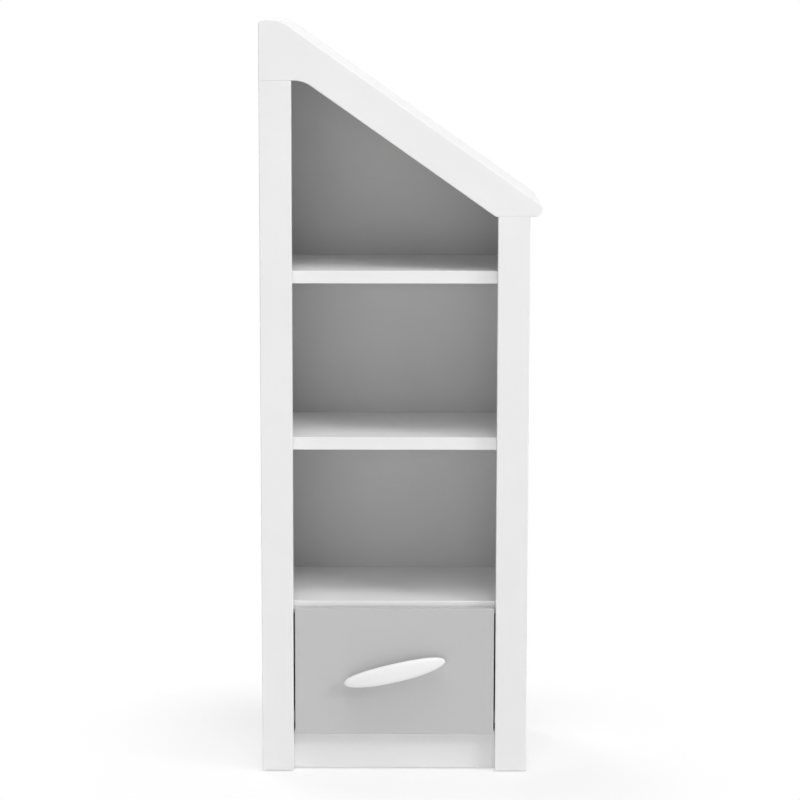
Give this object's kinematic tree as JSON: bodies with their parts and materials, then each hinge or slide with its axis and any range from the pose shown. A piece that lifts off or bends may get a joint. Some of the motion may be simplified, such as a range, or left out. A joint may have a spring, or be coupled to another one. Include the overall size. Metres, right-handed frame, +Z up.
{
  "type": "house shaped bookcase",
  "caption": "Tall narrow children's bookcase with a single sloped roof, open shelf bays and a drawer on roller runners.",
  "frame": {"origin": "on the floor, at the middle of the whole piece's box in x and y", "axes": "+X to the right seen from the front, +Y from the drawer's handle to the rear, +Z up"},
  "size_m": [0.553, 0.38, 1.5],
  "materials": {
    "white_lacquer": "satin white lacquer on board",
    "grey_back": "satin light grey lacquer on thin board",
    "grey_front": "satin light grey lacquer on board",
    "handle_white": "smooth white, half gloss",
    "raw_board": "uncoated particle board",
    "zinc": "zinc plated",
    "beech": null,
    "nylon": "natural nylon"
  },
  "bodies": {
    "case": {"left_side_panel": "white_lacquer", "right_side_panel": "white_lacquer", "ridge_panel": "white_lacquer", "roof_panel": "white_lacquer", "bottom_panel": "white_lacquer", "plinth": "white_lacquer", "rear_rail": "white_lacquer", "shelf_lower": "white_lacquer", "shelf_middle": "white_lacquer", "shelf_upper": "white_lacquer", "left_stile": "white_lacquer", "right_stile": "white_lacquer", "roof_fascia": "white_lacquer", "back_panel": "grey_back", "left_packer": "raw_board", "right_packer": "raw_board", "left_cabinet_runner": "zinc", "right_cabinet_runner": "zinc", "cabinet_roller_pins": "zinc", "cabinet_runner_screws": "zinc", "packer_screws": "zinc", "cam_bolts": "zinc", "cam_locks": "zinc", "back_panel_screws": "zinc", "wall_bracket": "zinc", "wall_bracket_screws": "zinc", "shelf_dowels": "beech", "base_dowels": "beech", "roof_dowels": "beech", "frame_dowels": "beech", "floor_glides": "nylon"},
    "drawer": {"drawer_front": "grey_front", "drawer_left_side": "white_lacquer", "drawer_right_side": "white_lacquer", "drawer_back": "white_lacquer", "drawer_bottom": "white_lacquer", "handle": "handle_white", "handle_screws": "zinc", "drawer_cam_bolts": "zinc", "drawer_cam_locks": "zinc", "drawer_back_screws": "zinc", "left_drawer_runner": "zinc", "right_drawer_runner": "zinc", "drawer_roller_pins": "zinc", "drawer_runner_screws": "zinc"},
    "left_cabinet_roller": {"left_cabinet_roller": "nylon"},
    "right_cabinet_roller": {"right_cabinet_roller": "nylon"},
    "left_drawer_roller": {"left_drawer_roller": "nylon"},
    "right_drawer_roller": {"right_drawer_roller": "nylon"}
  },
  "joints": [
    {"name": "drawer_slide", "type": "slide", "parent": "case", "child": "drawer", "axis": [0, -1, 0], "range_m": [0, 0.225]},
    {"name": "left_cabinet_roller_turn", "type": "hinge", "parent": "case", "child": "left_cabinet_roller", "pos_m": [-0.209, -0.125, 0.1111], "axis": [1, 0, 0], "continuous": true},
    {"name": "right_cabinet_roller_turn", "type": "hinge", "parent": "case", "child": "right_cabinet_roller", "pos_m": [0.186, -0.125, 0.1111], "axis": [1, 0, 0], "continuous": true},
    {"name": "left_drawer_roller_turn", "type": "hinge", "parent": "drawer", "child": "left_drawer_roller", "pos_m": [-0.209, 0.146, 0.109], "axis": [1, 0, 0], "continuous": true},
    {"name": "right_drawer_roller_turn", "type": "hinge", "parent": "drawer", "child": "right_drawer_roller", "pos_m": [0.186, 0.146, 0.109], "axis": [1, 0, 0], "continuous": true}
  ],
  "couplings": [
    {"joint": "left_cabinet_roller_turn", "follows": "drawer_slide", "rad_per_m": 95.238},
    {"joint": "right_cabinet_roller_turn", "follows": "drawer_slide", "rad_per_m": 95.238},
    {"joint": "left_drawer_roller_turn", "follows": "drawer_slide", "rad_per_m": 95.238},
    {"joint": "right_drawer_roller_turn", "follows": "drawer_slide", "rad_per_m": 95.238}
  ]
}
